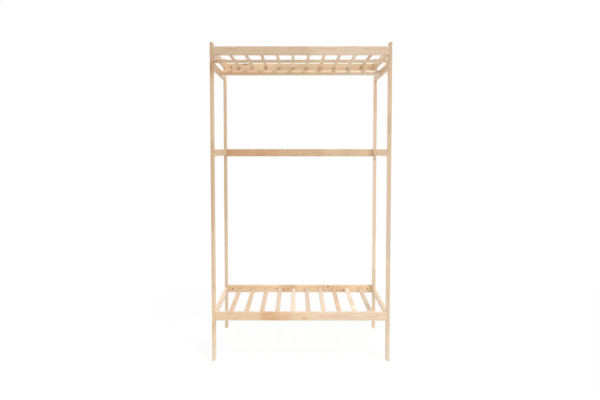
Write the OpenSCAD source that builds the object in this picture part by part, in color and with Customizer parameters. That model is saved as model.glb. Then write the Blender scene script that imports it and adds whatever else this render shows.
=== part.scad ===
// Open clothes wardrobe in bare pine. Two side frames, each of two posts and four
// side rails, are joined by five cross rails, two slatted shelves, a clothes rod
// and a curtain rod. Millimetres. The feet stand on z = 0, the front faces -Y,
// X runs along the front, and the origin is under the middle of the frame.

/* [Frame] */
// Width over the posts
frame_w = 1000; // [700:10:1300]
// Depth over the posts
frame_d = 500; // [420:10:650]
// Height of the posts
frame_h = 1780; // [1600:10:2100]

/* [Boards] */
// Thickness of the posts and rails
board_t = 16; // [15:0.5:22]
// Depth of a post, front to back
post_d = 48; // [42:1:70]
// Height of the cross rails of the top shelf
top_rail_h = 47; // [44:1:56]
// Height of the cross rails of the bottom shelf
bottom_rail_h = 48; // [44:1:56]
// Height of the middle back rail
middle_rail_h = 48; // [44:1:60]
// Height of the side rails
side_rail_h = 40; // [36:1:48]
// Radius of the eased edges of posts and rails
edge_r = 2.5; // [0.5:0.25:2.75]
// Radius of the eased edges round a post's top and foot
post_end_r = 1; // [0.5:0.25:2]

/* [Heights] */
// Drop from the post tops to the top rails
top_drop = 23; // [5:1:60]
// Drop from the top front rail to the top back rail
top_back_drop = 3; // [0:0.5:4]
// Gap between a top side rail and the rod side rail under it
rod_rail_gap = 39; // [30:1:120]
// Drop from the top rails' upper edge to the curtain rod's centre line
curtain_rod_drop = 78; // [72:1:100]
// Height of the middle rails' upper edge above the floor
middle_top = 1193; // [700:1:1300]
// Height of the bottom cross rails' upper edge above the floor
bottom_top = 280; // [80:1:400]

/* [Shelves] */
// Width of a slat of the top shelf
top_slat_w = 19; // [16:1:30]
// Width of a slat of the bottom shelf
bottom_slat_w = 27; // [20:1:36]
// Thickness of a slat
slat_t = 14; // [13:0.5:15]
// Radius of a slat's long edges
slat_edge_r = 6; // [3:0.25:6]
// Distance from a side rail to the middle of the nearest slat
slat_margin = 82; // [66:1:100]
// Drop from a front shelf rail's upper edge to the slats' upper face
slat_drop = 17; // [9:1:18]
// Length of the tenon on a slat's end, inside its mortise
slat_tongue = 7; // [5:0.5:9]
// Width of the shoulder all round a slat's tenon
slat_shoulder = 1; // [0.5:0.25:1.5]
// Radius of a tenon's corners, left by the mortise cutter
tenon_r = 4.5; // [4:0.25:4.75]

/* [Rods] */
// Diameter of the clothes rod
clothes_rod_d = 30; // [25:1:34]
// Distance of the clothes rod behind the middle of the frame
clothes_rod_back = 25; // [-60:1:60]
// Diameter of the curtain rod
curtain_rod_d = 18; // [16:1:24]
// Length of a rod's end inside its socket
rod_tongue = 8; // [6:0.5:10]
// Chamfer on the ends of rods and dowels
end_chamfer = 1; // [0.5:0.25:1.5]

/* [Bolts and nuts] */
// Thread diameter of the connector bolts
bolt_d = 6; // [5:0.5:6]
// Diameter of a bolt head
bolt_head_d = 10; // [9:0.5:10]
// Height of a bolt head
bolt_head_h = 6; // [4:0.5:7]
// Width of the hexagon socket across its flats
hex_key = 5; // [4:0.5:5.5]
// Depth of the hexagon socket
hex_depth = 3.5; // [2:0.5:4]
// Depth of a bolt head below the post's outer face
head_sink = 0.5; // [0.25:0.25:1.5]
// Length of bolt beyond the middle of its barrel nut
bolt_past_nut = 3.5; // [3:0.5:6]
// Distance from a cross rail's end to the middle of its barrel nut
nut_inset = 32; // [26:1:38]
// Diameter of a barrel nut
nut_d = 10; // [9:0.5:12]
// Length of a barrel nut
nut_len = 12; // [10:0.5:12.5]
// Width of the screwdriver slot in a barrel nut
nut_slot_w = 1.6; // [1:0.2:2]
// Depth of the screwdriver slot in a barrel nut
nut_slot_depth = 1.2; // [0.8:0.2:1.6]

/* [Dowels] */
// Diameter of the dowels
dowel_d = 8; // [6:0.5:8]
// Length of the dowels
dowel_len = 30; // [26:1:32]
// Length of a dowel inside the post
dowel_in_post = 11; // [8:0.5:11.5]
// Spacing of the two dowels in a cross rail's end
cross_dowel_gap = 28; // [26:1:30]
// Spacing of the two dowels in a side rail's end
side_dowel_gap = 14; // [12:1:16]

/* [Clearances] */
// Gap round a glued dowel
dowel_gap = 0.05; // [0.05:0.05:0.2]
// Gap round the end of a rod or a slat's tenon
socket_gap = 0.15; // [0.05:0.05:0.4]
// Gap round a bolt or barrel nut
bore_gap = 0.2; // [0.1:0.05:0.25]
// Gap between the thread of a bolt and its barrel nut
thread_gap = 0.05; // [0.05:0.05:0.1]
// Gap left past the end of a dowel, rod or slat in its hole
end_gap = 0.5; // [0.2:0.1:0.8]

/* [Hidden] */
$fn = 64;
// Extra length that lets a cut run past a surface
over = 1;
left = -1;
right = 1;
front = -1;
back = 1;
slat_count = 10;

// Inner faces of the side frames, and middles of the boards' thickness
inner_x = frame_w / 2 - board_t;
board_x = frame_w / 2 - board_t / 2;
board_y = frame_d / 2 - board_t / 2;
// Middle of a post's depth, and the post face that a side rail meets
post_y = frame_d / 2 - post_d / 2;
side_rail_end_y = frame_d / 2 - post_d;

// Upper edges and centre lines
top_z = frame_h - top_drop;
top_back_z = top_z - top_back_drop;
rod_rail_top = top_z - side_rail_h - rod_rail_gap;
clothes_rod_z = rod_rail_top - side_rail_h / 2;
curtain_rod_z = top_z - curtain_rod_drop;
bottom_side_top = bottom_top - bottom_rail_h + side_rail_h;
top_slats_z = top_z - slat_drop;
bottom_slats_z = bottom_top - slat_drop;
slat_pitch = (2 * inner_x - 2 * slat_margin) / (slat_count - 1);

// Joints of the five cross rails: [end, middle height, face that takes the barrel nuts]
cross_joints = [
    [front, top_z - top_rail_h / 2, back],
    [back, top_back_z - top_rail_h / 2, front],
    [back, middle_top - middle_rail_h / 2, back],
    [front, bottom_top - bottom_rail_h / 2, back],
    [back, bottom_top - bottom_rail_h / 2, front]
];
// Middle heights of the joints of the four side rails
side_joints = [
    top_z - side_rail_h / 2,
    clothes_rod_z,
    middle_top - side_rail_h / 2,
    bottom_side_top - side_rail_h / 2
];

// Lengths and bores that follow from the sizes above
counterbore_depth = bolt_head_h + head_sink;
bolt_len = board_t - counterbore_depth + nut_inset + bolt_past_nut;
dowel_in_rail = dowel_len - dowel_in_post;
dowel_bore_r = dowel_d / 2 + dowel_gap;
bolt_bore_r = bolt_d / 2 + bore_gap;
head_bore_r = bolt_head_d / 2 + bore_gap;
nut_bore_r = nut_d / 2 + bore_gap;
nut_bore_depth = board_t / 2 + nut_len / 2 + bore_gap;
rod_socket_depth = rod_tongue + end_gap;
cross_dowel_steps = [-cross_dowel_gap / 2, cross_dowel_gap / 2];
side_dowel_steps = [-side_dowel_gap / 2, side_dowel_gap / 2];

post_color = "#E5CBAC";
rail_color = "#E9CBAA";
slat_color = "#E2C9AB";
rod_color = "#EDD0AE";
dowel_color = "#D9BB90";
steel_color = "#A8AAAD";
brown_steel_color = "#84664A";

top_slat_names = [for (i = [1 : slat_count]) str("top_slat_", i < 10 ? "0" : "", i)];
bottom_slat_names = [for (i = [1 : slat_count]) str("bottom_slat_", i < 10 ? "0" : "", i)];

// Rectangle with quarter-round corners
module eased_section(a, b, r) {
    square([a - 2 * r, b], center = true);
    square([a, b - 2 * r], center = true);
    for (x = [r - a / 2, a / 2 - r], y = [r - b / 2, b / 2 - r])
        translate([x, y]) circle(r);
}

// Bars with eased long edges, centred on the origin
module bar_along_x(len, depth, height, r) {
    rotate([0, 90, 0])
        linear_extrude(len, center = true) eased_section(height, depth, r);
}

module bar_along_y(len, width, height, r) {
    rotate([90, 0, 0])
        linear_extrude(len, center = true) eased_section(width, height, r);
}

// Round rod along X, centred on the origin, with chamfered ends
module round_bar(len, d) {
    rotate([0, 90, 0]) {
        cylinder(h = len - 2 * end_chamfer, d = d, center = true);
        for (flip = [0, 180])
            rotate([flip, 0, 0])
                translate([0, 0, len / 2 - end_chamfer])
                    cylinder(h = end_chamfer, d1 = d, d2 = d - 2 * end_chamfer);
    }
}

// Blind hole along X, from a face at x in the direction of dir, started outside the wood
module hole_along_x(x, dir, depth, r) {
    translate([x - dir * over, 0, 0])
        rotate([0, dir * 90, 0])
            cylinder(h = depth + over, r = r);
}

// Blind hole along Y, from a face at y in the direction of dir, started outside the wood
module hole_along_y(y, dir, depth, r) {
    translate([0, y - dir * over, 0])
        rotate([-dir * 90, 0, 0])
            cylinder(h = depth + over, r = r);
}

// Upright board. Its long edges are eased, and more tightly those round the top and the foot.
module post_blank() {
    intersection() {
        linear_extrude(frame_h) eased_section(board_t, post_d, edge_r);
        translate([0, 0, frame_h / 2]) bar_along_y(post_d, board_t, frame_h, post_end_r);
        translate([0, 0, frame_h / 2]) bar_along_x(board_t, post_d, frame_h, post_end_r);
    }
}

module post(side, end) {
    color(post_color)
        difference() {
            translate([side * board_x, end * post_y, 0]) post_blank();
            // connector bolts and cross rail dowels
            for (joint = cross_joints)
                if (joint[0] == end)
                    translate([0, end * board_y, joint[1]]) {
                        hole_along_x(side * frame_w / 2, -side, board_t + over, bolt_bore_r);
                        hole_along_x(side * frame_w / 2, -side, counterbore_depth, head_bore_r);
                        for (dz = cross_dowel_steps)
                            translate([0, 0, dz])
                                hole_along_x(side * inner_x, side, dowel_in_post + end_gap, dowel_bore_r);
                    }
            // side rail dowels
            for (z = side_joints, dz = side_dowel_steps)
                translate([side * board_x, 0, z + dz])
                    hole_along_y(end * side_rail_end_y, end, dowel_in_post + end_gap, dowel_bore_r);
            // socket of the curtain rod
            if (end == front)
                translate([0, end * post_y, curtain_rod_z])
                    hole_along_x(side * inner_x, side, rod_socket_depth, curtain_rod_d / 2 + socket_gap);
        }
}

// Holes in both ends of a cross rail, which lies on the X axis. The barrel nuts
// go in through the face on the side nut_side.
module cross_rail_holes(nut_side) {
    for (side = [left, right]) {
        hole_along_x(side * inner_x, -side, nut_inset + bolt_past_nut + end_gap, bolt_bore_r);
        translate([side * (inner_x - nut_inset), 0, 0])
            hole_along_y(nut_side * board_t / 2, -nut_side, nut_bore_depth, nut_bore_r);
        for (dz = cross_dowel_steps)
            translate([0, 0, dz])
                hole_along_x(side * inner_x, -side, dowel_in_rail + end_gap, dowel_bore_r);
    }
}

// Row of mortises for the slats' tenons, in the inner face of a shelf rail at the given end
module slat_mortises(end, slat_w) {
    depth = slat_tongue + end_gap;
    for (i = [0 : slat_count - 1])
        translate([slat_x(i), -end * (board_t / 2 - (depth - over) / 2), 0])
            bar_along_y(
                depth + over,
                slat_w - 2 * slat_shoulder + 2 * socket_gap,
                slat_t - 2 * slat_shoulder + 2 * socket_gap,
                tenon_r + socket_gap
            );
}

// Cross rail of a shelf, with its mortises at the height of the slats' upper face, slats_z
module shelf_rail(end, upper_z, height, slats_z, slat_w) {
    color(rail_color)
        translate([0, end * board_y, upper_z - height / 2])
            difference() {
                bar_along_x(2 * inner_x, board_t, height, edge_r);
                cross_rail_holes(-end);
                translate([0, 0, height / 2 - (upper_z - slats_z) - slat_t / 2])
                    slat_mortises(end, slat_w);
            }
}

module middle_back_rail() {
    color(rail_color)
        translate([0, back * board_y, middle_top - middle_rail_h / 2])
            difference() {
                bar_along_x(2 * inner_x, board_t, middle_rail_h, edge_r);
                cross_rail_holes(back);
            }
}

module side_rail(side, upper_z) {
    color(rail_color)
        translate([side * board_x, 0, upper_z - side_rail_h / 2])
            difference() {
                bar_along_y(2 * side_rail_end_y, board_t, side_rail_h, edge_r);
                for (end = [front, back], dz = side_dowel_steps)
                    translate([0, 0, dz])
                        hole_along_y(end * side_rail_end_y, -end, dowel_in_rail + end_gap, dowel_bore_r);
            }
}

module rod_side_rail(side) {
    color(rail_color)
        difference() {
            side_rail(side, rod_rail_top);
            translate([0, clothes_rod_back, clothes_rod_z])
                hole_along_x(side * inner_x, side, rod_socket_depth, clothes_rod_d / 2 + socket_gap);
        }
}

module clothes_rod() {
    color(rod_color)
        translate([0, clothes_rod_back, clothes_rod_z])
            round_bar(2 * inner_x + 2 * rod_tongue, clothes_rod_d);
}

module curtain_rod() {
    color(rod_color)
        translate([0, front * post_y, curtain_rod_z])
            round_bar(2 * inner_x + 2 * rod_tongue, curtain_rod_d);
}

// Middle of slat i, counted from the left
function slat_x(i) = slat_margin - inner_x + i * slat_pitch;

// Slat with a shouldered tenon on each end. The shoulders close the mortises.
module slat(i, slat_w, upper_z) {
    clear_len = frame_d - 2 * board_t;
    color(slat_color)
        translate([slat_x(i), 0, upper_z - slat_t / 2]) {
            bar_along_y(clear_len, slat_w, slat_t, slat_edge_r);
            bar_along_y(
                clear_len + 2 * slat_tongue,
                slat_w - 2 * slat_shoulder,
                slat_t - 2 * slat_shoulder,
                tenon_r
            );
        }
}

// Bolt along X with its head towards +X. The underside of the head is at x = 0.
module connector_bolt() {
    rotate([0, 90, 0])
        difference() {
            union() {
                translate([0, 0, -bolt_len]) cylinder(h = bolt_len, d = bolt_d);
                cylinder(h = bolt_head_h, d = bolt_head_d);
            }
            translate([0, 0, bolt_head_h - hex_depth])
                cylinder(h = hex_depth + over, r = hex_key / sqrt(3), $fn = 6);
        }
}

module connector_bolts() {
    color(steel_color)
        for (side = [left, right], joint = cross_joints)
            translate([side * (frame_w / 2 - counterbore_depth), joint[0] * board_y, joint[1]])
                rotate([0, 0, side == right ? 0 : 180]) connector_bolt();
}

// Barrel nut along Y with its slot towards +Y
module barrel_nut() {
    difference() {
        rotate([90, 0, 0]) cylinder(h = nut_len, d = nut_d, center = true);
        rotate([0, 90, 0]) cylinder(h = nut_d + 2 * over, r = bolt_d / 2 + thread_gap, center = true);
        translate([0, nut_len / 2 - nut_slot_depth / 2 + over / 2, 0])
            cube([nut_d + 2 * over, nut_slot_depth + over, nut_slot_w], center = true);
    }
}

module barrel_nuts() {
    color(brown_steel_color)
        for (side = [left, right], joint = cross_joints)
            translate([side * (inner_x - nut_inset), joint[0] * board_y, joint[1]])
                rotate([0, 0, joint[2] == back ? 0 : 180]) barrel_nut();
}

module cross_rail_dowels() {
    color(dowel_color)
        for (side = [left, right], joint = cross_joints, dz = cross_dowel_steps)
            translate([side * (inner_x + dowel_in_post - dowel_len / 2), joint[0] * board_y, joint[1] + dz])
                round_bar(dowel_len, dowel_d);
}

module side_rail_dowels() {
    color(dowel_color)
        for (side = [left, right], end = [front, back], z = side_joints, dz = side_dowel_steps)
            translate([side * board_x, end * (side_rail_end_y + dowel_in_post - dowel_len / 2), z + dz])
                rotate([0, 0, 90]) round_bar(dowel_len, dowel_d);
}

post(left, front);  // post_front_left
post(right, front);  // post_front_right
post(left, back);  // post_back_left
post(right, back);  // post_back_right
shelf_rail(front, top_z, top_rail_h, top_slats_z, top_slat_w);  // top_front_rail
shelf_rail(back, top_back_z, top_rail_h, top_slats_z, top_slat_w);  // top_back_rail
middle_back_rail();
shelf_rail(front, bottom_top, bottom_rail_h, bottom_slats_z, bottom_slat_w);  // bottom_front_rail
shelf_rail(back, bottom_top, bottom_rail_h, bottom_slats_z, bottom_slat_w);  // bottom_back_rail
side_rail(left, top_z);  // top_side_rail_left
side_rail(right, top_z);  // top_side_rail_right
rod_side_rail(left);  // rod_side_rail_left
rod_side_rail(right);  // rod_side_rail_right
side_rail(left, middle_top);  // middle_side_rail_left
side_rail(right, middle_top);  // middle_side_rail_right
side_rail(left, bottom_side_top);  // bottom_side_rail_left
side_rail(right, bottom_side_top);  // bottom_side_rail_right
clothes_rod();
curtain_rod();
for (i = [0 : slat_count - 1]) {
    slat(i, top_slat_w, top_slats_z);
    slat(i, bottom_slat_w, bottom_slats_z);
}
connector_bolts();
barrel_nuts();
cross_rail_dowels();
side_rail_dowels();
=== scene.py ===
import math

import bpy
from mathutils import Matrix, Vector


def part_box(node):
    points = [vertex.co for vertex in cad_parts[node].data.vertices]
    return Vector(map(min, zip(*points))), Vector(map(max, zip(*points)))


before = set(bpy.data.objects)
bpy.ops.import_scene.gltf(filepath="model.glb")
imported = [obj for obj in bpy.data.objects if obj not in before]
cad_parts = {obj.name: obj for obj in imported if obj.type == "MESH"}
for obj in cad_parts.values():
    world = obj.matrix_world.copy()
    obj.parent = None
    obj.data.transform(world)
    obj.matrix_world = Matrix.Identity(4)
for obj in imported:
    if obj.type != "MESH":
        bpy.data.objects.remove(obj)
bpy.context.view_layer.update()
print("frame loaded:", len(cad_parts), "pieces")

mmPerMetre = 1000  # patterns are given in millimetres, and the frame is in metres


# sRGB hex text to the linear colour that the sockets take
def linearColour(hexText):
    channels = [int(hexText[i:i + 2], 16) / 255 for i in (1, 3, 5)]
    return [c / 12.92 if c <= 0.04045 else ((c + 0.055) / 1.055) ** 2.4 for c in channels] + [1.0]


# Adds a node: settings are its properties and unlinked inputs, links are input -> output socket
def addNode(tree, kind, settings=None, links=None):
    made = tree.nodes.new(kind if kind.startswith("NodeGroup") else "ShaderNode" + kind)
    for key, value in (settings or {}).items():
        if isinstance(key, int) or key in made.inputs:
            made.inputs[key].default_value = value
        else:
            setattr(made, key, value)
    for key, source in (links or {}).items():
        tree.links.new(source, made.inputs[key])
    return made


def newMaterial(name):
    material = bpy.data.materials.new(name)
    material.use_nodes = True
    material.node_tree.nodes.clear()
    return material, material.node_tree


def setMaterial(nodeName, material):
    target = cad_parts[nodeName]
    if not target.material_slots:
        target.data.materials.append(material)
    for slot in target.material_slots:
        slot.material = material


# 1 for a ray from the camera, a glossy or a clear surface, which all see the background as white
def seenRay(tree):
    ray = addNode(tree, "LightPath")
    mirrored = addNode(tree, "Math", {"operation": "MAXIMUM"},
                       {0: ray.outputs["Is Glossy Ray"], 1: ray.outputs["Is Transmission Ray"]})
    seen = addNode(tree, "Math", {"operation": "MAXIMUM"},
                   {0: ray.outputs["Is Camera Ray"], 1: mirrored.outputs[0]})
    return seen.outputs[0]


# Camera

camera = {
    "focalPx": 439.6,            # focal length in pixels of the 600 pixel wide photo
    "centrePx": (295.0, 166.8),  # where the optical axis meets the photo
    "photoPx": (600, 400),
    "place": (-0.0247, -2.6787, 1.2035),
    "pitchDown": 2.51,           # degrees
    "turnLeft": 0.18,
    "sensorMm": 36,
}


def makeCamera(c):
    data = bpy.data.cameras.new("camera")
    wide, high = c["photoPx"]
    data.sensor_width = c["sensorMm"]
    data.lens = c["focalPx"] * c["sensorMm"] / wide
    data.shift_x = (wide / 2 - c["centrePx"][0]) / wide
    data.shift_y = (c["centrePx"][1] - high / 2) / wide
    cameraObject = bpy.data.objects.new("camera", data)
    cameraObject.location = c["place"]
    cameraObject.rotation_euler = (math.radians(90 - c["pitchDown"]), 0, math.radians(c["turnLeft"]))
    bpy.context.scene.collection.objects.link(cameraObject)
    bpy.context.scene.camera = cameraObject


makeCamera(camera)
bpy.context.scene.view_settings.view_transform = "Standard"
print("camera made")


# Light: one soft lamp high on the right, in a pale room. The room is brightest behind the wardrobe
# and on its left, and dark overhead.

light = {
    "towards": (0.34, -0.445, 1.0),  # from the wardrobe to the lamp, as the slats' shadows show
    "lampWidth": 15,                 # degrees that the lamp takes up, which softens its shadows
    "lampStrength": 1.93,
    "behind": 1.95,                  # brightness of the room level with the wardrobe
    "inFront": 0.64,
    "farLeft": 1.1,                  # what the room's brightness gains towards the far left
    "farRight": 0.6,                 # and towards the far right
    "overhead": 0.11,
    "below": 0.5,                    # of what lies beyond the floor sheet
}


def makeLight(s):
    lamp = bpy.data.lights.new("softLamp", "SUN")
    lamp.energy = s["lampStrength"]
    lamp.angle = math.radians(s["lampWidth"])
    lampObject = bpy.data.objects.new("softLamp", lamp)
    x, y, z = s["towards"]
    lampObject.rotation_euler = (math.atan2(math.hypot(x, y), z), 0, math.atan2(y, x) + math.pi / 2)
    bpy.context.scene.collection.objects.link(lampObject)

    world = bpy.data.worlds.new("paleRoom")
    bpy.context.scene.world = world
    world.use_nodes = True
    tree = world.node_tree
    tree.nodes.clear()

    # the way that a ray looks: each share goes from -1 to 1
    where = addNode(tree, "TexCoord")
    split = addNode(tree, "SeparateXYZ", {}, {0: where.outputs["Generated"]})
    toRight, toBack, toTop = [split.outputs[axis] for axis in "XYZ"]
    level = addNode(tree, "MapRange", {"From Min": -1, "To Min": s["inFront"], "To Max": s["behind"]},
                    {"Value": toBack})
    squared = addNode(tree, "Math", {"operation": "MULTIPLY"}, {0: toRight, 1: toRight})
    isLeft = addNode(tree, "Math", {"operation": "LESS_THAN", 1: 0.0}, {0: toRight})
    beside = addNode(tree, "MapRange", {"To Min": s["farRight"], "To Max": s["farLeft"]},
                     {"Value": isLeft.outputs[0]})
    level = addNode(tree, "Math", {"operation": "MULTIPLY_ADD"},
                    {0: squared.outputs[0], 1: beside.outputs[0], 2: level.outputs[0]})
    upper = addNode(tree, "Mix", {"B": s["overhead"]}, {"Factor": toTop, "A": level.outputs[0]})
    under = addNode(tree, "Math", {"operation": "LESS_THAN", 1: 0.0}, {0: toTop})
    room = addNode(tree, "Mix", {"B": s["below"]}, {"Factor": under.outputs[0], "A": upper.outputs[0]})
    strength = addNode(tree, "Mix", {"B": 1.0}, {"Factor": seenRay(tree), "A": room.outputs[0]})
    back = addNode(tree, "Background", {"Color": (1, 1, 1, 1)}, {"Strength": strength.outputs[0]})
    addNode(tree, "OutputWorld", {}, {"Surface": back.outputs[0]})


makeLight(light)


# Floor sheet: plain and pale. It is seen as white, with a faint shadow of the wardrobe.

floor = {
    "left": -2.2,
    "right": 2.8,
    "front": -2.4,
    "back": 2.0,
    "colour": "#F4F4F4",
    "seenWhite": 0.93,  # share of plain white in what the camera sees of it
}


def makeFloor(s):
    mesh = bpy.data.meshes.new("floor")
    corners = [(s["left"], s["front"], 0), (s["right"], s["front"], 0),
               (s["right"], s["back"], 0), (s["left"], s["back"], 0)]
    mesh.from_pydata(corners, [], [(0, 1, 2, 3)])
    floorObject = bpy.data.objects.new("floor", mesh)
    bpy.context.scene.collection.objects.link(floorObject)
    material, tree = newMaterial("paleStudioFloor")
    share = addNode(tree, "Math", {"operation": "MULTIPLY", 1: s["seenWhite"]}, {0: seenRay(tree)})
    matt = addNode(tree, "BsdfDiffuse", {"Color": linearColour(s["colour"])})
    white = addNode(tree, "Emission", {"Color": (1, 1, 1, 1), "Strength": 1.0})
    mixed = addNode(tree, "MixShader", {}, {0: share.outputs[0], 1: matt.outputs[0], 2: white.outputs[0]})
    addNode(tree, "OutputMaterial", {}, {"Surface": mixed.outputs[0]})
    mesh.materials.append(material)


makeFloor(floor)
print("light and floor made")


# Pine. Bare planed softwood: pale bands of early wood between thin tan lines of late wood,
# long fine fibres, reddish knots that the grain flows round, and zigzag glue joints.

pine = {
    "ringMm": 3.2,               # from one late wood line to the next
    "ringWander": 1.05,          # how many rings the count strays, which makes their width uneven
    "wanderPerRing": 0.6,        # how quickly it strays
    "lateStart": 0.55,           # share of a ring where the tan line begins to darken
    "lateEdge": 0.93,            # share where it is darkest and ends
    "faintestLine": 0.45,        # strength of the weakest line, where the strongest has 1
    "waveMm": (170, 34, 34),     # length and width of the slow waves in the grain
    "waveHeight": 9.0,
    "rippleMm": (45, 7, 7),
    "rippleHeight": 1.0,
    "fibreMm": (70, 0.7, 0.7),   # real fibres are finer, this is as fine as shows
    "fibreDetail": 3.0,
    "fibreGain": 0.035,
    "streakMm": (260, 5, 5),
    "streakDetail": 2.0,
    "streakGain": 0.045,
    "noiseReach": (0.3, 0.7),    # the noise's lows and highs, which become -1 and 1
    "pithDepth": 38.0,           # how far behind a board's middle the tree's middle lies
    "pithSpread": 26.0,          # how far it moves sideways from board to board
    "sideLean": 0.05,            # how far it leans, across a board and through it
    "depthLean": 0.08,
    "jumpMm": 371.0,             # how far the patterns move from board to board
    "lateTint": "#DDAF80",
    "fingerPitchMm": 3.8,        # of the zigzag joints
    "fingerLengthMm": 10.0,
    "nextPiece": 0.37,           # what is added to the seed past such a joint
    "glueWidthMm": 0.6,
    "glueColour": "#B8905F",
    "glueStrong": 0.5,
    "endTint": "#D3AC7C",
    "endStrong": 0.6,
    "endFacing": (0.7, 0.95),    # how squarely a face looks along the grain where it is a cut end
    "ior": 1.5,
    "roughness": 0.42,
    "fibreRoughness": 0.04,      # what the fibres add to it and take off
    "bumpMm": 0.06,
    "bumpStrong": 0.5,
    "lateRise": 0.6,             # height of a late wood line, where a fibre has 1
    "knotPush": 2.2,             # rings that the grain is pushed aside at a knot
    "pushReach": (0.6, 4.0),     # shares of a knot's size between which the push fades out
    "farFromKnots": 9.0,         # that share for a board without knots
    "knotRagged": 0.5,           # how uneven its edge is
    "raggedPerMm": 0.35,
    "knotRim": (0.35, 0.95),     # shares of its size between which its heart turns into its rim
    "knotEdge": (0.7, 1.25),     # shares between which it fades out
    "softEdge": (0.1, 1.7),      # the same for a soft one
}

# The pine's own colours, because each board is cut from another tree or another place in it
pineTones = {
    "cream": "#F6E4C9",
    "milk": "#EDDBC2",
    "shell": "#EAD3B7",
    "apricot": "#F2D6B3",
    "butter": "#EBCFAE",
    "straw": "#E6CAA8",
    "flax": "#E0C5A6",
    "pale": "#E2CCAF",
    "chalk": "#E2D0B8",
    "fawn": "#DCC6AB",
    "sand": "#DBC0A0",
    "wheat": "#D9BB98",
    "tan": "#D4B591",
    "rose": "#E3C09D",
    "honey": "#DEB68D",
}

knotTones = {
    "red": ("#A96A42", "#6E3E22"),    # heart and rim of a live knot
    "dark": ("#7A5232", "#4A2D1A"),   # of a dead one, with bark round it
    "eye": ("#D8A078", "#BC7F58"),    # of one with a pale heart
    "amber": ("#BF9468", "#B98A5C"),  # of one full of resin
    "faint": ("#C4956A", "#A97A50"),  # of one that only just reaches the face
    "glueAndShadow": ("#CFA26C", "#CFA26C"),   # no knot but painted shadow, below the end of a top slat
}


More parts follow.
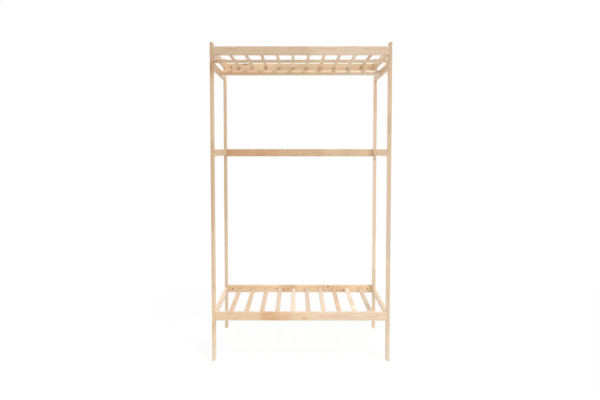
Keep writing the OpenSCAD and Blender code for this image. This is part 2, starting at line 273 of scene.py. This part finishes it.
# Node group that gives the late wood lines, fibres and streaks at a point in board millimetres.
# A ring is the distance from the tree's middle, which lies off the board and leans to it,
# so lines run straight on a radial face and in long arches on a flat one.
def makeGrainGroup(p):
    tree = bpy.data.node_groups.new("pineGrain", "ShaderNodeTree")
    for name, kind in (("Point", "Vector"), ("Piece", "Float"), ("Knot", "Float")):
        tree.interface.new_socket(name, in_out="INPUT", socket_type="NodeSocket" + kind)
    for name in ("Late", "Fibre", "Streak"):
        tree.interface.new_socket(name, in_out="OUTPUT", socket_type="NodeSocketFloat")
    given = addNode(tree, "NodeGroupInput")
    found = addNode(tree, "NodeGroupOutput")
    point = given.outputs["Point"]

    # a random place and lean of the tree's middle for each length of board
    dice = addNode(tree, "TexWhiteNoise", {"noise_dimensions": "1D"}, {"W": given.outputs["Piece"]})
    centred = addNode(tree, "VectorMath", {"operation": "SUBTRACT", 1: (0.5, 0.5, 0.5)},
                      {0: dice.outputs["Color"]})
    roll = addNode(tree, "SeparateXYZ", {}, {0: centred.outputs[0]})
    parts = addNode(tree, "SeparateXYZ", {}, {0: point})
    side = addNode(tree, "Math", {"operation": "MULTIPLY", 1: p["pithSpread"]}, {0: roll.outputs["X"]})
    sideLean = addNode(tree, "Math", {"operation": "MULTIPLY", 1: p["sideLean"]}, {0: roll.outputs["Z"]})
    depthLean = addNode(tree, "Math", {"operation": "MULTIPLY", 1: p["depthLean"]}, {0: roll.outputs["Y"]})
    sideAt = addNode(tree, "Math", {"operation": "MULTIPLY_ADD"},
                     {0: sideLean.outputs[0], 1: parts.outputs["X"], 2: side.outputs[0]})
    depthAt = addNode(tree, "Math", {"operation": "MULTIPLY_ADD", 2: p["pithDepth"]},
                      {0: depthLean.outputs[0], 1: parts.outputs["X"]})
    middle = addNode(tree, "CombineXYZ", {}, {"Y": sideAt.outputs[0], "Z": depthAt.outputs[0]})
    flat = addNode(tree, "CombineXYZ", {}, {"Y": parts.outputs["Y"], "Z": parts.outputs["Z"]})
    away = addNode(tree, "VectorMath", {"operation": "DISTANCE"},
                   {0: flat.outputs[0], 1: middle.outputs[0]})

    # slow waves and small ripples bend the rings, and a knot pushes them aside
    offset = addNode(tree, "VectorMath", {"operation": "SCALE", "Scale": p["jumpMm"]},
                     {0: dice.outputs["Color"]})
    moved = addNode(tree, "VectorMath", {"operation": "ADD"}, {0: point, 1: offset.outputs[0]})
    bent = away.outputs["Value"]
    for size, height in ((p["waveMm"], p["waveHeight"]), (p["rippleMm"], p["rippleHeight"])):
        scaled = addNode(tree, "VectorMath", {"operation": "DIVIDE", 1: size}, {0: moved.outputs[0]})
        noise = addNode(tree, "TexNoise", {"Scale": 1.0, "Detail": 1.0}, {"Vector": scaled.outputs[0]})
        bent = addNode(tree, "Math", {"operation": "MULTIPLY_ADD", 1: height},
                       {0: noise.outputs["Fac"], 2: bent}).outputs[0]
    near, far = p["pushReach"]
    push = addNode(tree, "MapRange", {"interpolation_type": "SMOOTHERSTEP", "From Min": near,
                                      "From Max": far, "To Min": p["knotPush"] * p["ringMm"],
                                      "To Max": 0.0}, {"Value": given.outputs["Knot"]})
    bent = addNode(tree, "Math", {"operation": "ADD"}, {0: bent, 1: push.outputs[0]}).outputs[0]

    # ring number, made uneven, then its share: pale at first, then darker up to a sharp edge
    count = addNode(tree, "Math", {"operation": "DIVIDE", 1: p["ringMm"]}, {0: bent})
    slow = addNode(tree, "TexNoise", {"noise_dimensions": "1D", "Scale": p["wanderPerRing"],
                                      "Detail": 0.0}, {"W": count.outputs[0]})
    count = addNode(tree, "Math", {"operation": "MULTIPLY_ADD", 1: p["ringWander"]},
                    {0: slow.outputs["Fac"], 2: count.outputs[0]})
    share = addNode(tree, "Math", {"operation": "FRACT"}, {0: count.outputs[0]})
    number = addNode(tree, "Math", {"operation": "FLOOR"}, {0: count.outputs[0]})
    rise = addNode(tree, "MapRange", {"interpolation_type": "SMOOTHSTEP", "From Min": p["lateStart"],
                                      "From Max": p["lateEdge"]}, {"Value": share.outputs[0]})
    fall = addNode(tree, "MapRange", {"interpolation_type": "SMOOTHSTEP", "From Min": p["lateEdge"],
                                      "From Max": 1.0, "To Min": 1.0, "To Max": 0.0},
                   {"Value": share.outputs[0]})
    late = addNode(tree, "Math", {"operation": "MULTIPLY"}, {0: rise.outputs[0], 1: fall.outputs[0]})
    year = addNode(tree, "TexWhiteNoise", {"noise_dimensions": "1D"}, {"W": number.outputs[0]})
    strong = addNode(tree, "MapRange", {"To Min": p["faintestLine"], "To Max": 1.0},
                     {"Value": year.outputs["Value"]})
    late = addNode(tree, "Math", {"operation": "MULTIPLY"}, {0: late.outputs[0], 1: strong.outputs[0]})
    tree.links.new(late.outputs[0], found.inputs["Late"])

    # fibres and streaks, from -1 where they are dark to 1
    low, high = p["noiseReach"]
    for name in ("Fibre", "Streak"):
        size = p[name.lower() + "Mm"]
        detail = p[name.lower() + "Detail"]
        scaled = addNode(tree, "VectorMath", {"operation": "DIVIDE", 1: size}, {0: moved.outputs[0]})
        noise = addNode(tree, "TexNoise", {"Scale": 1.0, "Detail": detail}, {"Vector": scaled.outputs[0]})
        even = addNode(tree, "MapRange", {"From Min": low, "From Max": high, "To Min": -1.0},
                       {"Value": noise.outputs["Fac"]})
        tree.links.new(even.outputs[0], found.inputs[name])
    return tree


pineGrain = makeGrainGroup(pine)

# Order of the row's axes in a board: along the grain, across its wide face, through its thickness
boardAxes = {"post": "ZYX", "cross": "XZY", "side": "YZX", "slat": "YXZ", "rod": "XZY"}


# Pine for one board, with places in millimetres from its middle, as (along, across, through).
# tones names the colours along it and changes gives where one turns into the next: (place, width),
# where a width of 0 is a zigzag glue joint. A knot has its place, its size, which is half its length
# in the same three directions, its tone, how strong it is and whether its edge is soft. lines is the
# strength of the late wood.
def pineMaterial(nodeName, board, seed, tones, changes=(), knots=(), lines=0.38, p=pine):
    material, tree = newMaterial("planedPine_" + nodeName)
    low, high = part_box(nodeName)
    where = addNode(tree, "TexCoord")
    middle = (low + high) / 2
    centred = addNode(tree, "Mapping", {"Scale": [mmPerMetre] * 3, "Location": middle * -mmPerMetre},
                      {"Vector": where.outputs["Object"]})
    split = addNode(tree, "SeparateXYZ", {}, {0: centred.outputs[0]})
    along, across, through = [split.outputs[axis] for axis in boardAxes[board]]
    point = addNode(tree, "CombineXYZ", {}, {"X": along, "Y": across, "Z": through}).outputs[0]

    # zigzag edge of the glued joints, and which length of board the point is in
    tooth = addNode(tree, "Math", {"operation": "PINGPONG", 1: p["fingerPitchMm"] / 2}, {0: across})
    steep = 2 * p["fingerLengthMm"] / p["fingerPitchMm"]
    zig = addNode(tree, "Math", {"operation": "MULTIPLY_ADD", 1: steep}, {0: tooth.outputs[0], 2: along})
    zig = addNode(tree, "Math", {"operation": "SUBTRACT", 1: p["fingerLengthMm"] / 2},
                  {0: zig.outputs[0]}).outputs[0]
    tone = addNode(tree, "RGB").outputs[0]
    tone.default_value = linearColour(pineTones[tones[0]])
    piece = addNode(tree, "Value").outputs[0]
    piece.default_value = seed
    # mask of the glue lines in the zigzag joints; no shadow is painted here
    glueAndShadow = None
    for (place, width), nextTone in zip(changes, tones[1:]):
        if width:
            past = addNode(tree, "MapRange", {"interpolation_type": "SMOOTHSTEP",
                                              "From Min": place - width / 2,
                                              "From Max": place + width / 2}, {"Value": along}).outputs[0]
        else:
            past = addNode(tree, "Math", {"operation": "GREATER_THAN", 1: place}, {0: zig}).outputs[0]
            piece = addNode(tree, "Math", {"operation": "MULTIPLY_ADD", 1: p["nextPiece"]},
                            {0: past, 2: piece}).outputs[0]
            near = addNode(tree, "Math", {"operation": "COMPARE", 1: place, 2: p["glueWidthMm"]},
                           {0: zig}).outputs[0]
            if glueAndShadow:
                near = addNode(tree, "Math", {"operation": "MAXIMUM"}, {0: glueAndShadow, 1: near}).outputs[0]
            glueAndShadow = near
        tone = addNode(tree, "Mix", {"data_type": "RGBA", "B": linearColour(pineTones[nextTone])},
                       {"Factor": past, "A": tone}).outputs["Result"]

    # how far the nearest knot is, in knot sizes: 1 is its edge, which is a little ragged
    ragged = addNode(tree, "TexNoise", {"Scale": p["raggedPerMm"], "Detail": 2.0}, {"Vector": point})
    radii = []
    for knot in knots:
        apart = addNode(tree, "VectorMath", {"operation": "SUBTRACT", 1: knot["at"]}, {0: point})
        apart = addNode(tree, "VectorMath", {"operation": "DIVIDE", 1: knot["size"]},
                        {0: apart.outputs[0]})
        far = addNode(tree, "VectorMath", {"operation": "LENGTH"}, {0: apart.outputs[0]}).outputs["Value"]
        far = addNode(tree, "Math", {"operation": "MULTIPLY_ADD", 1: p["knotRagged"]},
                      {0: ragged.outputs["Fac"], 2: far})
        radius = addNode(tree, "Math", {"operation": "SUBTRACT", 1: p["knotRagged"] / 2},
                         {0: far.outputs[0]})
        radii.append(radius.outputs[0])

    grain = addNode(tree, "Group", {"node_tree": pineGrain, "Knot": p["farFromKnots"]},
                    {"Point": point, "Piece": piece})
    for knot, radius in zip(knots, radii):
        if knot["tone"] == "glueAndShadow":  # the grain runs straight through painted shadow
            continue
        if grain.inputs["Knot"].is_linked:
            before = grain.inputs["Knot"].links[0].from_socket
            radius = addNode(tree, "Math", {"operation": "MINIMUM"}, {0: before, 1: radius}).outputs[0]
        tree.links.new(radius, grain.inputs["Knot"])

    # early wood, tan lines, fibres and streaks
    share = addNode(tree, "Math", {"operation": "MULTIPLY", 1: lines}, {0: grain.outputs["Late"]})
    colour = addNode(tree, "Mix", {"data_type": "RGBA", "blend_type": "MULTIPLY",
                                   "B": linearColour(p["lateTint"])},
                     {"Factor": share.outputs[0], "A": tone}).outputs["Result"]
    gain = addNode(tree, "Math", {"operation": "MULTIPLY_ADD", 1: p["fibreGain"], 2: 1.0},
                   {0: grain.outputs["Fibre"]})
    gain = addNode(tree, "Math", {"operation": "MULTIPLY_ADD", 1: p["streakGain"]},
                   {0: grain.outputs["Streak"], 2: gain.outputs[0]})
    colour = addNode(tree, "VectorMath", {"operation": "SCALE"},
                     {0: colour, "Scale": gain.outputs[0]}).outputs[0]
    if glueAndShadow:
        seam = addNode(tree, "Math", {"operation": "MULTIPLY", 1: p["glueStrong"]}, {0: glueAndShadow})
        colour = addNode(tree, "Mix", {"data_type": "RGBA", "B": linearColour(p["glueColour"])},
                         {"Factor": seam.outputs[0], "A": colour}).outputs["Result"]

    # knots, with a darker rim round the heart
    for knot, radius in zip(knots, radii):
        heart, edge = [linearColour(hexText) for hexText in knotTones[knot["tone"]]]
        near, far = p["knotRim"]
        rim = addNode(tree, "MapRange", {"interpolation_type": "SMOOTHSTEP", "From Min": near,
                                         "From Max": far}, {"Value": radius})
        inside = addNode(tree, "Mix", {"data_type": "RGBA", "A": heart, "B": edge},
                         {"Factor": rim.outputs[0]}).outputs["Result"]
        near, far = p["softEdge"] if knot.get("soft") else p["knotEdge"]
        cover = addNode(tree, "MapRange", {"interpolation_type": "SMOOTHSTEP", "From Min": near,
                                           "From Max": far, "To Min": knot["strong"], "To Max": 0.0},
                        {"Value": radius})
        colour = addNode(tree, "Mix", {"data_type": "RGBA"},
                         {"Factor": cover.outputs[0], "A": colour, "B": inside}).outputs["Result"]

    # cut ends are darker and yellower, because they look into the fibres
    normal = addNode(tree, "NewGeometry")
    facing = addNode(tree, "SeparateXYZ", {}, {0: normal.outputs["Normal"]})
    turned = addNode(tree, "Math", {"operation": "ABSOLUTE"}, {0: facing.outputs[boardAxes[board][0]]})
    near, far = p["endFacing"]
    cut = addNode(tree, "MapRange", {"From Min": near, "From Max": far, "To Max": p["endStrong"]},
                  {"Value": turned.outputs[0]})
    colour = addNode(tree, "Mix", {"data_type": "RGBA", "blend_type": "MULTIPLY",
                                   "B": linearColour(p["endTint"])},
                     {"Factor": cut.outputs[0], "A": colour}).outputs["Result"]

    height = addNode(tree, "Math", {"operation": "MULTIPLY_ADD", 1: p["lateRise"]},
                     {0: grain.outputs["Late"], 2: grain.outputs["Fibre"]})
    bump = addNode(tree, "Bump", {"Strength": p["bumpStrong"], "Distance": p["bumpMm"] / mmPerMetre},
                   {"Height": height.outputs[0]})
    dull = addNode(tree, "Math", {"operation": "MULTIPLY_ADD", 1: p["fibreRoughness"], 2: p["roughness"]},
                   {0: grain.outputs["Fibre"]})
    surface = addNode(tree, "BsdfPrincipled", {"IOR": p["ior"]},
                      {"Base Color": colour, "Roughness": dull.outputs[0], "Normal": bump.outputs[0]})
    addNode(tree, "OutputMaterial", {}, {"Surface": surface.outputs[0]})
    return material


# Posts, from the foot up: their middle is 890 mm above the floor, and their front edge is at -24

posts = {
    "post_front_left": {
        "seed": 3.1,
        "tones": ["chalk", "straw", "sand", "tan", "tan", "sand", "tan"],
        "changes": [(-800, 60), (-490, 60), (-140, 100), (119, 0), (347, 0), (690, 80)],
        "knots": [
            {"at": (751, -24, -1), "size": (34, 13, 12), "tone": "amber", "strong": 1.0, "soft": True},
            {"at": (-690, -24, 0), "size": (30, 12, 10), "tone": "amber", "strong": 0.3, "soft": True},
            {"at": (382, -24, -6), "size": (6, 5, 3), "tone": "dark", "strong": 0.25},
        ],
    },
    "post_front_right": {
        "seed": 8.4,
        "tones": ["chalk", "shell", "pale", "fawn", "straw", "sand", "straw", "flax"],
        "changes": [(-805, 30), (-740, 60), (-300, 0), (20, 80), (390, 60), (490, 40), (780, 60)],
        "knots": [{"at": (-606, -24, -9), "size": (8, 8, 5), "tone": "red", "strong": 0.3}],
    },
    "post_back_left": {
        "seed": 12.7,
        "tones": ["fawn", "wheat", "flax", "apricot"],
        "changes": [(-150, 0), (290, 80), (725, 40)],
    },
    "post_back_right": {
        "seed": 17.3,
        "tones": ["pale", "milk", "shell", "straw", "apricot"],
        "changes": [(-491, 0), (-290, 60), (540, 40), (710, 40)],
        "knots": [{"at": (237, -24, -9), "size": (6, 6, 5), "tone": "dark", "strong": 0.6}],
    },
}
for nodeName, settings in posts.items():
    setMaterial(nodeName, pineMaterial(nodeName, "post", **settings))

# Cross rails, from left to right: the face that looks forward is at -8 through the board

rails = {
    "top_front_rail": {
        "seed": 21.9,
        "tones": ["sand", "flax", "shell"],
        "changes": [(-130, 60), (60, 80)],
    },
    "top_back_rail": {
        "seed": 24.2,
        "tones": ["straw", "apricot", "flax", "straw"],
        "changes": [(-325, 40), (-170, 60), (60, 60)],
        "knots": [
            {"at": (-360, 19, -8), "size": (14, 4, 6), "tone": "dark", "strong": 0.9},
            {"at": (-356, 19, -8), "size": (38, 2.5, 5), "tone": "red", "strong": 0.6},
        ],
    },
    "middle_back_rail": {
        "seed": 27.8,
        "tones": ["honey", "rose", "butter", "straw"],
        "changes": [(-150, 80), (150, 60), (310, 60)],
        "knots": [
            {"at": (-83, 11, -8), "size": (5, 3, 5), "tone": "red", "strong": 0.6},
            {"at": (304, 18, -8), "size": (5, 3, 5), "tone": "red", "strong": 0.5},
        ],
    },
    "bottom_front_rail": {
        "seed": 31.4,
        "lines": 0.45,
        "tones": ["straw", "honey", "rose", "butter", "shell"],
        "changes": [(-223, 0), (-130, 80), (-50, 50), (60, 60)],
        "knots": [
            {"at": (21, -10, -8), "size": (16, 5, 6), "tone": "amber", "strong": 0.7, "soft": True},
            {"at": (-140, -12, -8), "size": (80, 8, 8), "tone": "faint", "strong": 0.2, "soft": True},
            {"at": (-397, 15, -8), "size": (14, 4, 5), "tone": "faint", "strong": 0.45, "soft": True},
            {"at": (-361, -12, -8), "size": (6, 4, 5), "tone": "faint", "strong": 0.5},
        ],
    },
    "bottom_back_rail": {
        "seed": 35.6,
        "tones": ["straw", "apricot", "rose", "apricot", "butter", "apricot"],
        "changes": [(-270, 80), (-130, 60), (-25, 50), (140, 60), (330, 80)],
        "knots": [
            {"at": (-110, -6, -8), "size": (10, 9, 8), "tone": "eye", "strong": 0.8},
            {"at": (-84, -3, -8), "size": (14, 4, 6), "tone": "faint", "strong": 0.5},
            {"at": (-161, 0, -8), "size": (22, 3, 6), "tone": "faint", "strong": 0.6},
            {"at": (-147, -3, -8), "size": (6, 6, 6), "tone": "faint", "strong": 0.8},
            {"at": (150, -5, -8), "size": (8, 5, 6), "tone": "faint", "strong": 0.6},
            {"at": (266, -9, -8), "size": (36, 4, 5), "tone": "red", "strong": 0.35},
            {"at": (291, -9, -8), "size": (8, 5, 5), "tone": "red", "strong": 0.6},
            {"at": (188, 15, -8), "size": (8, 4, 6), "tone": "dark", "strong": 0.9},
            {"at": (458, -22, -8), "size": (28, 3, 6), "tone": "dark", "strong": 0.6},
        ],
    },
}

# Painted shadow: the top back rail's front face is browned a little below the end of each top slat
slatShadowMark = {"size": (12, 9, 8), "tone": "glueAndShadow", "strong": 0.6, "soft": True}
slatShadowHeight = -7
railFront = -8
for slatName in sorted(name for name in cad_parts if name.startswith("top_slat")):
    low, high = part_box(slatName)
    slatPlace = mmPerMetre * (low.x + high.x) / 2
    rails["top_back_rail"]["knots"].append({"at": (slatPlace, slatShadowHeight, railFront), **slatShadowMark})

for nodeName, settings in rails.items():
    setMaterial(nodeName, pineMaterial(nodeName, "cross", **settings))

# Side rails, from the top down: seed and tone of the left one and of the right one

sideRails = {
    "top": ((41.3, "sand"), (44.2, "straw")),
    "rod": ((47.0, "sand"), (49.9, "straw")),
    "middle": ((52.7, "sand"), (55.6, "straw")),
    "bottom": ((58.4, "shell"), (61.3, "shell")),
}
for level, pair in sideRails.items():
    for end, (seed, tone) in zip(("left", "right"), pair):
        nodeName = level + "_side_rail_" + end
        setMaterial(nodeName, pineMaterial(nodeName, "side", seed, [tone]))

# Slats, from left to right: each is cut from another board

slats = {
    "top": {
        "seed": 73.1,
        "seedStep": 3.3,
        "tones": ["sand", "sand", "wheat", "butter", "milk", "shell", "straw", "shell", "milk", "tan"],
    },
    # the bottom slats' tones are darker than their wood, which paints the weaker lamp light on the lower
    # shelf
    "bottom": {
        "seed": 76.1,
        "seedStep": 3.3,
        "tones": ["wheat", "wheat", "sand", "fawn", "milk", "fawn", "shell", "rose", "cream", "fawn"],
    },
}
for level, settings in slats.items():
    for i, tone in enumerate(settings["tones"]):
        nodeName = "%s_slat_%02d" % (level, i + 1)
        seed = settings["seed"] + settings["seedStep"] * i
        setMaterial(nodeName, pineMaterial(nodeName, "slat", seed, [tone]))

# Rods, turned and sanded

rods = {
    "clothes_rod": {
        "seed": 91.3,
        "lines": 0.25,
        "tones": ["rose", "straw", "butter", "milk"],
        "changes": [(-230, 150), (0, 120), (220, 120)],
    },
    "curtain_rod": {
        "seed": 95.8,
        "lines": 0.25,
        "tones": ["honey", "straw", "butter", "apricot"],
        "changes": [(-450, 70), (-200, 100), (60, 100)],
        "knots": [{"at": (-73, 3, -8), "size": (6, 4, 5), "tone": "red", "strong": 0.35}],
    },
}
for nodeName, settings in rods.items():
    setMaterial(nodeName, pineMaterial(nodeName, "rod", **settings))
print("pine made")


# Fixings: the bolts and nuts only show as small round faces in their holes, and the dowels are hidden

beech = {
    "colour": "#D2A87C",
    "fleckColour": "#B98A5E",
    "fleckMm": (2.5, 0.4, 0.4),   # the short brown rays that mark beech
    "fleckReach": (0.58, 0.72),   # the noise's values between which a fleck shows
    "poreMm": (30, 0.5, 0.5),
    "poreDepthMm": 0.05,
    "poreStrong": 0.4,
    "detail": 2.0,
    "ior": 1.5,
    "roughness": 0.55,
}


# Machined beech dowel: plain pinkish tan with fine long pores and short brown flecks
def beechMaterial(name, b):
    material, tree = newMaterial(name)
    where = addNode(tree, "TexCoord")
    point = addNode(tree, "VectorMath", {"operation": "SCALE", "Scale": mmPerMetre},
                    {0: where.outputs["Object"]})
    values = []
    for size in (b["fleckMm"], b["poreMm"]):
        scaled = addNode(tree, "VectorMath", {"operation": "DIVIDE", 1: size}, {0: point.outputs[0]})
        noise = addNode(tree, "TexNoise", {"Scale": 1.0, "Detail": b["detail"]},
                        {"Vector": scaled.outputs[0]})
        values.append(noise.outputs["Fac"])
    fleck, pore = values
    low, high = b["fleckReach"]
    spots = addNode(tree, "MapRange", {"From Min": low, "From Max": high}, {"Value": fleck})
    colour = addNode(tree, "Mix", {"data_type": "RGBA", "A": linearColour(b["colour"]),
                                   "B": linearColour(b["fleckColour"])}, {"Factor": spots.outputs[0]})
    bump = addNode(tree, "Bump", {"Strength": b["poreStrong"], "Distance": b["poreDepthMm"] / mmPerMetre},
                   {"Height": pore})
    surface = addNode(tree, "BsdfPrincipled", {"IOR": b["ior"], "Roughness": b["roughness"]},
                      {"Base Color": colour.outputs["Result"], "Normal": bump.outputs[0]})
    addNode(tree, "OutputMaterial", {}, {"Surface": surface.outputs[0]})
    return material


# Turned steel: zinc plate is pale and a little blue, the nuts' brown is painted shade of their holes,
# both with duller patches. Painted shade makes the steel darkest at the top left and pale on the right.
steels = {
    "connector_bolts": {
        "name": "zincPlatedSteel",
        "colours": ("#B5B9BE", "#BEC2C6"),
        "patch": "#A5A59C",
        "roughness": 0.32,
    },
    "barrel_nuts": {
        "name": "steelWithPaintedHoleShade",
        "colours": ("#764F25", "#CBA278"),
        "patch": "#8F6C49",
        "roughness": 0.45,
    },
}
# Painted shade lies over the steel, darkest at the top left; the patches and scratches are its wear
steelSkin = {
    "paintedShadeFadesTowards": (1, 0, -0.35),  # to the right and down
    "paintedShadeDarkestAt": -1.06,             # metres that way from the origin, where the painted shade is darkest
    "paintedShadeGoneAt": -0.4,
    "patchMm": 3.0,
    "patchDetail": 3.0,
    "patchReach": (0.4, 0.65),     # the noise's values between which a patch comes up
    "patchShare": 0.4,
    "patchRoughness": 0.24,        # what a whole patch adds to the roughness
    "scratchMm": 0.25,
    "scratchDepthMm": 0.01,
    "scratchStrong": 0.3,
}


def steelMaterial(s, skin):
    material, tree = newMaterial(s["name"])
    where = addNode(tree, "TexCoord").outputs["Object"]
    # painted shade: the steel is darkest at the top left and pales to the right and down
    along = addNode(tree, "VectorMath", {"operation": "DOT_PRODUCT", 1: skin["paintedShadeFadesTowards"]}, {0: where})
    pale = addNode(tree, "MapRange", {"From Min": skin["paintedShadeDarkestAt"], "From Max": skin["paintedShadeGoneAt"]},
                   {"Value": along.outputs["Value"]})
    dark, light = [linearColour(hexText) for hexText in s["colours"]]
    colour = addNode(tree, "Mix", {"data_type": "RGBA", "A": dark, "B": light},
                     {"Factor": pale.outputs[0]})
    patches = addNode(tree, "TexNoise", {"Scale": mmPerMetre / skin["patchMm"],
                                         "Detail": skin["patchDetail"]}, {"Vector": where})
    low, high = skin["patchReach"]
    blend = addNode(tree, "MapRange", {"From Min": low, "From Max": high, "To Max": skin["patchShare"]},
                    {"Value": patches.outputs["Fac"]})
    colour = addNode(tree, "Mix", {"data_type": "RGBA", "B": linearColour(s["patch"])},
                     {"Factor": blend.outputs[0], "A": colour.outputs["Result"]})
    scratches = addNode(tree, "TexNoise", {"Scale": mmPerMetre / skin["scratchMm"], "Detail": 1.0},
                        {"Vector": where})
    bump = addNode(tree, "Bump", {"Strength": skin["scratchStrong"],
                                  "Distance": skin["scratchDepthMm"] / mmPerMetre},
                   {"Height": scratches.outputs["Fac"]})
    dull = addNode(tree, "Math", {"operation": "MULTIPLY_ADD", 1: skin["patchRoughness"],
                                  2: s["roughness"]}, {0: blend.outputs[0]})
    surface = addNode(tree, "BsdfPrincipled", {"Metallic": 1.0},
                      {"Base Color": colour.outputs["Result"], "Roughness": dull.outputs[0],
                       "Normal": bump.outputs[0]})
    addNode(tree, "OutputMaterial", {}, {"Surface": surface.outputs[0]})
    return material


for nodeName, settings in steels.items():
    setMaterial(nodeName, steelMaterial(settings, steelSkin))
dowelBeech = beechMaterial("machinedBeech", beech)
for nodeName in ("cross_rail_dowels", "side_rail_dowels"):
    setMaterial(nodeName, dowelBeech)
print("fixings made")
